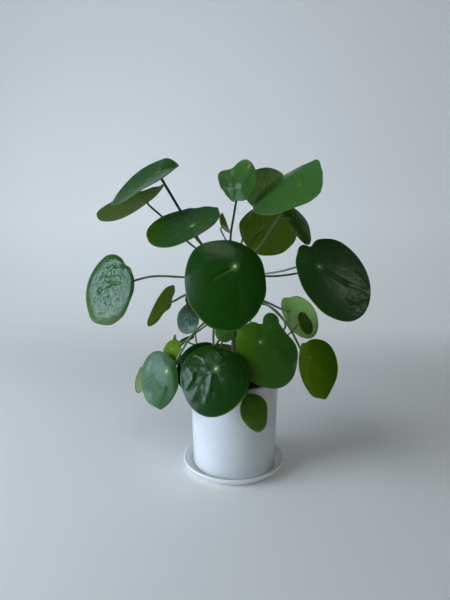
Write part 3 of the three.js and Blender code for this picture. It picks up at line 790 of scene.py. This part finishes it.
def under_material():
    """The blade's underside: duller, with the veins a little raised."""
    made, tree, shader = material("leaf_under")
    flat, radius, rho, apart = vein_nodes(tree)
    patches = fade(tree, grain(tree, flat, 0.1, 3.0), 0.3, 0.7, 0.0, 0.35)
    tone = shaded(tree, carried(tree, "tone", "Color"), patches, (0.7, 0.76, 0.6))
    main = main_veins(tree, rho, apart, 1.1, 0.45, 0.5, 0.2)
    branch = fade(tree, net(tree, flat, 0.24), 0.0, 0.1, 1.0, 0.0)
    pale = tint(tree, 0.5, tone, (0.42, 0.5, 0.22))
    tone = tint(tree, times(tree, main, 0.25), tone, pale)
    tone = tint(tree, times(tree, branch, 0.12), tone, pale)
    centre = fade(tree, radius, 1.5, 5.0, 0.5, 0.0)
    wire(tree, tint(tree, centre, tone, (0.34, 0.42, 0.16)), shader, "Base Color")
    roughen(tree, shader, grain(tree, flat, 0.4, 3.0), 0.46, 0.6)
    shader.inputs["IOR"].default_value = 1.16
    height = plus(tree, times(tree, branch, 0.1), times(tree, main, 0.12))
    bump(tree, plus(tree, height, times(tree, grain(tree, flat, 1.0), 0.02)), shader)
    return made


def stalk_material():
    """A stalk with streaks along it and small brown flecks."""
    made, tree, shader = material("leaf_stalk")
    plane = carried(tree, "plane")
    streaks = grain(tree, drawn_out(tree, plane, 0.12), 1.6, 3.0)
    tone = shaded(tree, carried(tree, "tone", "Color"),
                  fade(tree, streaks, 0.35, 0.7, 0.0, 0.5), (0.5, 0.45, 0.35))
    flecks = fade(tree, grain(tree, plane, 1.1, 2.0), 0.62, 0.7, 0.0, 0.4)
    wire(tree, tint(tree, flecks, tone, (0.16, 0.1, 0.05)), shader, "Base Color")
    roughen(tree, shader, streaks, 0.34, 0.5)
    bump(tree, times(tree, streaks, 0.12), shader)
    return made


# Trunk, shoots and soil

def bark_material(name, light, dark, scar):
    made, tree, shader = material(name)
    place = put(tree, "TexCoord").outputs["Object"]
    fibre = grain(tree, drawn_out(tree, place, 0.25), 700.0, 4.0, 0.6)
    patches = grain(tree, place, 120.0, 3.0)
    tone = tint(tree, fade(tree, fibre, 0.35, 0.65), dark, light)
    tone = tint(tree, fade(tree, patches, 0.4, 0.7, 0.0, 0.6), tone,
                tint(tree, 0.5, light, scar))
    worn = put(tree, "SeparateXYZ", {0: carried(tree, "look")}).outputs[0]
    tone = tint(tree, worn, tone, scar)
    wire(tree, tone, shader, "Base Color")
    roughen(tree, shader, fibre, 0.62, 0.85)
    bump(tree, fibre, shader, 0.5 * MM)
    return made


SCAR_WIDTH, SCAR_HEIGHT = 2.4, 1.3
SCALE_COUNT = 26
GOLDEN_TURN = math.radians(137.5)


def make_stem(stem, node, slot, looks, spacing, sides=30, step=0.7):
    """A stem with a raised leaf scar at each turn of a spiral, and scales round its bud."""
    rng = random.Random(node)
    top = stem["top"] + 3
    count = int((top - STEM_FOOT) / step)
    z = np.linspace(STEM_FOOT, top, count + 1)
    turn = np.arange(sides) * math.tau / sides
    zz, tt = np.meshgrid(z, turn, indexing="ij")
    radius = stem_radius(stem, zz)
    dome = np.clip((top - zz) / 4, 0, 1)
    radius = radius * np.sqrt(1 - (1 - dome) ** 2) + 0.05
    worn = np.zeros_like(zz)
    height, k = STEM_FOOT + 4.0, 0
    while height < stem["top"] - 2:
        gap = (tt - GOLDEN_TURN * k + math.pi) % math.tau - math.pi
        across = gap * stem["radius"] / SCAR_WIDTH
        over = (zz - height) / SCAR_HEIGHT
        oval = np.exp(-(across**2 + over**2))
        centre = np.exp(-((gap * stem["radius"] / 1.1) ** 2 + ((zz - height) / 0.7) ** 2))
        radius += 0.42 * oval - 0.3 * centre
        worn = np.maximum(worn, oval * 0.8)
        height += spacing * rng.uniform(0.85, 1.15)
        k += 1
    for i in range(count + 1):
        for j in range(sides):
            spot = Vector((math.cos(turn[j]) * 1.6, math.sin(turn[j]) * 1.6, z[i] * 0.22))
            radius[i, j] += 0.16 * noise.noise(spot) + 0.1 * noise.noise(spot * 3.1)
    x = stem["at"][0] + radius * np.cos(tt)
    y = stem["at"][1] + radius * np.sin(tt)
    points = np.stack([x, y, zz], -1).reshape(-1, 3)
    faces = grid_faces(count + 1, sides) + end_caps(count + 1, sides)
    look = np.c_[worn.ravel(), np.zeros((worn.size, 2))]
    slots = [0] * len(faces)
    points, look = list(points), list(look)
    add_scales(stem, rng, points, faces, slots, look)
    piece("seen_" + node, node, slot, np.array(points), faces, looks, slots,
          look=np.array(look))


def add_scales(stem, rng, points, faces, slots, look):
    """Thin papery scales where the stalks leave the stem."""
    for _ in range(SCALE_COUNT):
        z = rng.uniform(stem["crown_from"] + 4, stem["top"])
        turn = rng.uniform(0, math.tau)
        out = np.array([math.cos(turn), math.sin(turn), 0])
        side = np.array([-out[1], out[0], 0])
        foot = np.array([*stem["at"], z]) + out * (float(stem_radius(stem, z)) - 0.3)
        long, wide = rng.uniform(2.4, 4.2), rng.uniform(0.9, 1.6)
        lean = rng.uniform(0.15, 0.6)
        rise = np.array([0, 0, 1.0]) + out * lean
        start = len(points)
        for share, width in ((0, 1), (0.35, 0.95), (0.7, 0.55)):
            middle = foot + rise * long * share + out * 0.5 * share**2
            for edge, lift in ((-1, 0), (0, 0.35), (1, 0), (0, 0.1)):
                points.append(middle + side * wide * width * edge / 2 + out * lift)
                look.append(np.array([0.35, 0, 0]))
        points.append(foot + rise * long + out * 0.5)
        look.append(np.array([0.35, 0, 0]))
        made = [(low + i, low + 4 + i, low + 4 + k, low + k)
                for low in (start, start + 4) for i, k in neighbours(4)]
        made += [(start + 8 + i, start + 12, start + 8 + k) for i, k in neighbours(4)]
        made.append((start, start + 1, start + 2, start + 3))
        faces += made
        slots += [1] * len(made)


def soil_height(x, y):
    reach = math.hypot(x, y) / (POT_TOP_RADIUS - POT_WALL)
    large = math.sin(x * 0.31 + 1.3) * math.cos(y * 0.27)
    clods = large + 0.6 * math.sin(x * 0.11 - y * 0.52)
    return SOIL_TOP + SOIL_MOUND * (1 - reach) + SOIL_RELIEF * clods * (1 - reach**4)


def crumbs(x, y):
    """Fine relief of the soil, in mm."""
    spot = Vector((x, y, 0))
    cells = noise.voronoi(spot * 0.33)[0]
    height = 1.5 * (cells[1] - cells[0]) + 0.9 * noise.noise(spot * 0.4)
    return height + 0.5 * noise.noise(spot * 1.1) + 0.25 * noise.noise(spot * 2.6) - 0.5


def soil_material():
    made, tree, shader = material("soil_crumb")
    place = put(tree, "TexCoord").outputs["Object"]
    coarse = grain(tree, place, 260.0, 4.0, 0.65)
    fine = grain(tree, place, 1500.0, 3.0, 0.7)
    tone = tint(tree, fade(tree, coarse, 0.3, 0.7), linear(30, 22, 17), linear(74, 56, 42))
    fibres = fade(tree, fine, 0.62, 0.74, 0.0, 0.55)
    tone = tint(tree, fibres, tone, linear(126, 98, 70))
    wire(tree, tone, shader, "Base Color")
    roughen(tree, shader, fine, 0.75, 0.98)
    bump(tree, plus(tree, coarse, times(tree, fine, 0.4)), shader)
    return made


def grit_material(name, light, dark, scale):
    made, tree, shader = material(name)
    place = put(tree, "TexCoord").outputs["Object"]
    value = grain(tree, place, scale, 3.0, 0.6)
    wire(tree, tint(tree, fade(tree, value, 0.3, 0.7), dark, light), shader, "Base Color")
    roughen(tree, shader, value, 0.7, 0.95)
    bump(tree, value, shader, 0.4 * MM)
    return made


GRIT_COUNT = 760
PERLITE_SHARE = 0.1
BARK_SHARE = 0.2
LUMP_SIDES = 7


def lump():
    """A rough ball of radius 1: its two ends, then three rows of points, each turned a little."""
    points = [(0, 0, 1), (0, 0, -1)]
    for lift, shift in ((0.6, 0.0), (0.0, 0.45), (-0.6, 0.9)):
        for k in range(LUMP_SIDES):
            a = k * math.tau / LUMP_SIDES + shift
            points.append((math.cos(a) * math.cos(lift), math.sin(a) * math.cos(lift), math.sin(lift)))
    first, middle, last = (2 + row * LUMP_SIDES for row in range(3))
    beside = neighbours(LUMP_SIDES)
    faces = [(0, first + i, first + k) for i, k in beside]
    for low, high in ((first, middle), (middle, last)):
        faces += [(low + i, high + i, low + k) for i, k in beside]
        faces += [(low + k, high + i, high + k) for i, k in beside]
    faces += [(last + i, 1, last + k) for i, k in beside]
    return points, faces


def add_grit(reach, points, faces, slots):
    """Loose grit, perlite and bark on the soil's top."""
    rng = random.Random(5)
    lump_points, lump_faces = lump()
    for _ in range(GRIT_COUNT):
        r, a = reach * math.sqrt(rng.random()), rng.uniform(0, math.tau)
        x, y = r * math.cos(a), r * math.sin(a)
        kind = rng.random()
        slot = 1 if kind < PERLITE_SHARE else 2 if kind < PERLITE_SHARE + BARK_SHARE else 0
        size = rng.uniform(0.6, 1.5) if slot == 1 else rng.uniform(0.6, 2.1)
        stretch = [rng.uniform(0.7, 1.3) * size for _ in range(3)]
        if slot == 2:
            stretch[rng.randrange(2)] *= 1.8
            stretch[2] *= 0.5
        spin = rng.uniform(0, math.tau)
        z = soil_height(x, y) + crumbs(x, y) + stretch[2] * 0.35
        start = len(points)
        for px, py, pz in lump_points:
            jitter = rng.uniform(0.8, 1.15)
            sx, sy, sz = px * stretch[0] * jitter, py * stretch[1] * jitter, pz * stretch[2] * jitter
            points.append((x + sx * math.cos(spin) - sy * math.sin(spin),
                           y + sx * math.sin(spin) + sy * math.cos(spin), z + sz))
        faces += [tuple(start + i for i in face) for face in lump_faces]
        slots += [slot] * len(lump_faces)


def make_soil():
    """The crumbly top, a plain body below it, and the grit on top."""
    rings, spokes = 84, 168
    side = POT_TOP_RADIUS - POT_WALL - GAP - 0.6
    low = side - 2.5
    floor = POT_INSIDE + GAP
    turns = [math.tau * k / spokes for k in range(spokes)]
    points = []
    for ring in range(rings):
        r = side * (ring + 1) / rings
        for a in turns:
            x, y = r * math.cos(a), r * math.sin(a)
            points.append((x, y, soil_height(x, y) + crumbs(x, y)))
    points += [(low * math.cos(a), low * math.sin(a), floor) for a in turns]
    points += [(0, 0, soil_height(0, 0)), (0, 0, floor)]
    faces = [tuple(reversed(face)) for face in grid_faces(rings + 1, spokes)]
    faces += end_fans(rings + 1, spokes, len(points) - 2, len(points) - 1)
    slots = [0] * len(faces)
    add_grit(side * 0.97, points, faces, slots)
    looks = [soil_material(),
             grit_material("soil_perlite", linear(214, 210, 200), linear(160, 152, 138), 900.0),
             grit_material("soil_bark", linear(112, 78, 50), linear(58, 38, 25), 700.0)]
    piece("seen_soil", "soil", "soil", np.array(points), faces, looks, slots)


# Pot and saucer

def arc(centre_r, centre_z, radius, first, last, count):
    """Points (radius, height) on an arc, its angles in degrees."""
    angles = np.radians(np.linspace(first, last, count))
    return [(centre_r + radius * math.cos(a), centre_z + radius * math.sin(a)) for a in angles]


def line(first, last, count):
    """Points between two, both ends included."""
    return [tuple(np.array(first) + (np.array(last) - first) * k / (count - 1))
            for k in range(count)]


def make_turned(name, slot, profile, looks, bare, closed_loop, wave):
    """Turns a profile about the upright axis. bare(r, z) picks the second material."""
    n = TURNED_SEGMENTS
    points = []
    for r, z in profile:
        for k in range(n):
            a = math.tau * k / n
            out = r
            if r > 1:
                out += wave * math.sin(2 * a + z * 0.05) + wave * 0.6 * math.sin(z * 0.33 + 3 * a)
            points.append((out * math.cos(a), out * math.sin(a), z))
    rows = len(profile)
    faces = grid_faces(rows, n)
    if closed_loop:
        last = (rows - 1) * n
        faces += [(last + i, last + k, k, i) for i, k in neighbours(n)]
    else:
        faces += end_caps(rows, n)
    slots = []
    for face in faces:
        spots = np.array([points[i] for i in face[:4]])
        r = float(np.mean(np.hypot(spots[:, 0], spots[:, 1])))
        slots.append(1 if bare(r, float(np.mean(spots[:, 2]))) else 0)
    piece("seen_" + name, name, slot, np.array(points), faces, looks, slots)


def pot_radius(z):
    return POT_BOTTOM_RADIUS + (POT_TOP_RADIUS - POT_BOTTOM_RADIUS) * (z - POT_BASE) / POT_HEIGHT


def pot_profile():
    foot = 1.6
    lip = POT_WALL / 2 - 0.5
    inner_low = (pot_radius(POT_INSIDE + 5) - POT_WALL, POT_INSIDE + 5)
    return [
        *line((DRAIN_RADIUS, POT_INSIDE - 0.8), (DRAIN_RADIUS, POT_BASE + POT_FOOT_RISE + 0.8), 4),
        (DRAIN_RADIUS + 0.8, POT_BASE + POT_FOOT_RISE),
        *line((DRAIN_RADIUS + 2, POT_BASE + POT_FOOT_RISE),
              (POT_BOTTOM_RADIUS - POT_FOOT_WIDTH - foot, POT_BASE + POT_FOOT_RISE), 6),
        (POT_BOTTOM_RADIUS - POT_FOOT_WIDTH, POT_BASE + 0.1),
        (POT_BOTTOM_RADIUS - POT_FOOT_WIDTH + 0.8, POT_BASE),
        *arc(POT_BOTTOM_RADIUS - foot, POT_BASE + foot, foot, -90, 0, 7),
        *line((pot_radius(POT_BASE + 4), POT_BASE + 4),
              (pot_radius(POT_RIM - 4), POT_RIM - 4), 40),
        *arc(POT_TOP_RADIUS - lip, POT_RIM - lip, lip, 0, 90, 6),
        *arc(POT_TOP_RADIUS - POT_WALL + lip, POT_RIM - lip, lip, 90, 180, 6),
        *line((pot_radius(POT_RIM - 4) - POT_WALL, POT_RIM - 4), inner_low, 24),
        *arc(inner_low[0] - 5, POT_INSIDE + 5, 5, 0, -90, 6)[1:],
        *line((30, POT_INSIDE), (DRAIN_RADIUS + 0.8, POT_INSIDE), 4),
    ]


def saucer_profile():
    lip_r, lip_z = SAUCER_RIM_RADIUS - SAUCER_LIP, SAUCER_HEIGHT - SAUCER_LIP
    return [
        (0.4, 0.0),
        *line((20, 0.0), (SAUCER_FOOT_RADIUS - 0.8, 0.0), 4),
        (SAUCER_FOOT_RADIUS, 0.25),
        (SAUCER_FOOT_RADIUS + 1.2, 0.5),
        *line((SAUCER_WALL_RADIUS, SAUCER_FOOT_RISE),
              (lip_r + SAUCER_LIP * math.cos(-0.6), lip_z + SAUCER_LIP * math.sin(-0.6)), 9),
        *arc(lip_r, lip_z, SAUCER_LIP, -20, 150, 9),
        *line((lip_r - SAUCER_LIP - 0.5, lip_z - 0.8),
              (SAUCER_WALL_RADIUS + 1, SAUCER_FLOOR + 0.9), 6),
        (SAUCER_WALL_RADIUS, SAUCER_FLOOR + 0.35),
        (SAUCER_WALL_RADIUS - 1.2, SAUCER_FLOOR + 0.05),
        *line((SAUCER_WALL_RADIUS - 3, SAUCER_FLOOR), (20, SAUCER_FLOOR), 5),
        (0.4, SAUCER_FLOOR),
    ]


def glaze_material(name, low, high):
    made, tree, shader = material(name)
    place = put(tree, "TexCoord").outputs["Object"]
    cloud = grain(tree, place, 18.0, 3.0)
    fine = grain(tree, place, 90.0, 2.0)
    tone = tint(tree, fade(tree, cloud, 0.3, 0.7), low, high)
    specks = fade(tree, grain(tree, place, 700.0, 1.0), 0.78, 0.82, 0.0, 0.12)
    tone = tint(tree, specks, tone, linear(190, 184, 174))
    wire(tree, tone, shader, "Base Color")
    roughen(tree, shader, fine, 0.1, 0.16)
    bump(tree, plus(tree, cloud, times(tree, fine, 0.01)), shader, 0.4 * MM)
    return made


def make_holder():
    pot_glaze = glaze_material("pot_glaze", linear(228, 229, 230), linear(236, 236, 234))
    # The saucer's glaze is a lighter copy of the pot's white glaze: painted light, so the saucer looks
    # as brightly lit as the pot.
    saucer_glaze = glaze_material("saucer_glaze", linear(242, 242, 241), linear(247, 247, 245))
    biscuit = grit_material("bare_clay", linear(222, 214, 200), linear(198, 188, 172), 500.0)
    foot_inner = POT_BOTTOM_RADIUS - POT_FOOT_WIDTH - 0.5
    make_turned("pot", "pot", pot_profile(), [pot_glaze, biscuit],
                lambda r, z: z < POT_BASE + 0.5 and r > foot_inner, True, 0.06)
    make_turned("saucer", "saucer", saucer_profile(), [saucer_glaze, biscuit],
                lambda r, z: z < 0.1 and r > SAUCER_FOOT_RADIUS - 8, False, 0.05)


# Stage, lights and camera

def make_stage():
    """A pale sheet of paper that curves up behind the plant, in metres."""
    half, back, cove, top = 3.0, 1.25, 0.35, 1.2
    rows = [(-half, 0.0), (back - cove, 0.0)]
    rows += [(back - cove + cove * math.sin(a), cove - cove * math.cos(a))
             for a in np.radians(np.linspace(9, 90, 10))]
    rows.append((back, top))
    points = [(x, y, z) for y, z in rows for x in (-half, half)]
    faces = [(2 * k, 2 * k + 1, 2 * k + 3, 2 * k + 2) for k in range(len(rows) - 1)]
    mesh = bpy.data.meshes.new("sweep")
    mesh.from_pydata(points, [], faces)
    mesh.polygons.foreach_set("use_smooth", [True] * len(faces))
    made, tree, shader = material("sweep_paper")
    place = put(tree, "TexCoord").outputs["Object"]
    tone = tint(tree, grain(tree, place, 2.0), linear(230, 227, 222), linear(235, 232, 228))
    wire(tree, tone, shader, "Base Color")
    shader.inputs["Roughness"].default_value = 0.8
    depth = put(tree, "SeparateXYZ", {0: place}).outputs[1]
    glow = fade(tree, depth, 0.3, 0.95, 0.06, 0.21)
    shader.inputs["Emission Color"].default_value = (0.84, 0.93, 1.0, 1)
    wire(tree, glow, shader, "Emission Strength")
    mesh.materials.append(made)
    sweep = bpy.data.objects.new("sweep", mesh)
    bpy.context.scene.collection.objects.link(sweep)


PLANT_CENTRE = (0, 0, 0.2)
DAYLIGHT = (0.65, 0.80, 1.0)


def area_light(name, place, size, power, colour):
    """A rectangular light that faces the plant."""
    data = bpy.data.lights.new(name, "AREA")
    data.shape = "RECTANGLE"
    data.size, data.size_y = size
    data.energy = power
    data.color = colour
    made = bpy.data.objects.new(name, data)
    made.location = place
    aim = Vector(PLANT_CENTRE) - Vector(place)
    made.rotation_euler = aim.to_track_quat("-Z", "Y").to_euler()
    made.visible_camera = False
    bpy.context.scene.collection.objects.link(made)


def make_lights():
    area_light("window_left", (-1.31, -0.27, 0.45), (0.6, 0.75), 12.2, DAYLIGHT)
    area_light("window_front", (-1.05, -0.76, 0.5), (0.4, 0.8), 7.6, DAYLIGHT)
    area_light("ceiling", (-0.40, -0.60, 1.45), (0.6, 0.6), 3.5, (0.97, 1.0, 0.90))
    area_light("side", (1.3, -0.15, 1.05), (0.3, 0.3), 0.6, (1.0, 1.0, 0.94))
    world = bpy.data.worlds.new("room")
    bpy.context.scene.world = world
    world.use_nodes = True
    tree = world.node_tree
    sky = tree.nodes["Background"]
    direction = put(tree, "TexCoord").outputs["Generated"]
    across = put(tree, "SeparateXYZ", {0: direction}).outputs[0]
    tone = tint(tree, fade(tree, across, -0.9, 0.7), (0.07, 0.08, 0.10), (0.05, 0.049, 0.045))
    tree.links.new(tone, sky.inputs["Color"])


def make_camera():
    """At the photograph's viewing point: its focal length is 450 px of a 450 by 600 frame."""
    data = bpy.data.cameras.new("camera")
    data.lens = 27
    data.sensor_width = 36
    data.clip_start = 0.01
    camera = bpy.data.objects.new("camera", data)
    camera.location = (0, -0.544, 0.2855)
    pitch, yaw = 7.9, 1.22
    camera.rotation_euler = (math.radians(90 - pitch), 0, math.radians(yaw))
    bpy.context.scene.collection.objects.link(camera)
    bpy.context.scene.camera = camera


def make_plant():
    looks_of = [upper_material("leaf_dull", 1.12), upper_material("leaf_satin", 1.25),
                upper_material("leaf_glossy", 1.38), under_material(), stalk_material()]
    for stem, leaves in ((TRUNK, TRUNK_LEAVES), (LEFT_SHOOT, LEFT_SHOOT_LEAVES),
                         (RIGHT_SHOOT, RIGHT_SHOOT_LEAVES)):
        for each in leaves:
            make_leaf(each, stem, looks_of)
    scale = grit_material("papery_scale", linear(142, 104, 70), linear(82, 56, 36), 900.0)
    bark = bark_material("bark", linear(116, 92, 68), linear(52, 38, 28), linear(150, 124, 96))
    green_bark = bark_material("shoot_skin", linear(112, 118, 66), linear(66, 66, 38),
                               linear(150, 130, 92))
    make_stem(TRUNK, "trunk", "trunk", [bark, scale], 5.2)
    make_stem(LEFT_SHOOT, "shoot_left", "shoot", [green_bark, scale], 4.5, 18)
    make_stem(RIGHT_SHOOT, "shoot_right", "shoot", [green_bark, scale], 4.5, 18)


make_plant()
make_soil()
make_holder()
make_stage()
make_lights()
make_camera()
bpy.context.scene.view_settings.view_transform = "Standard"
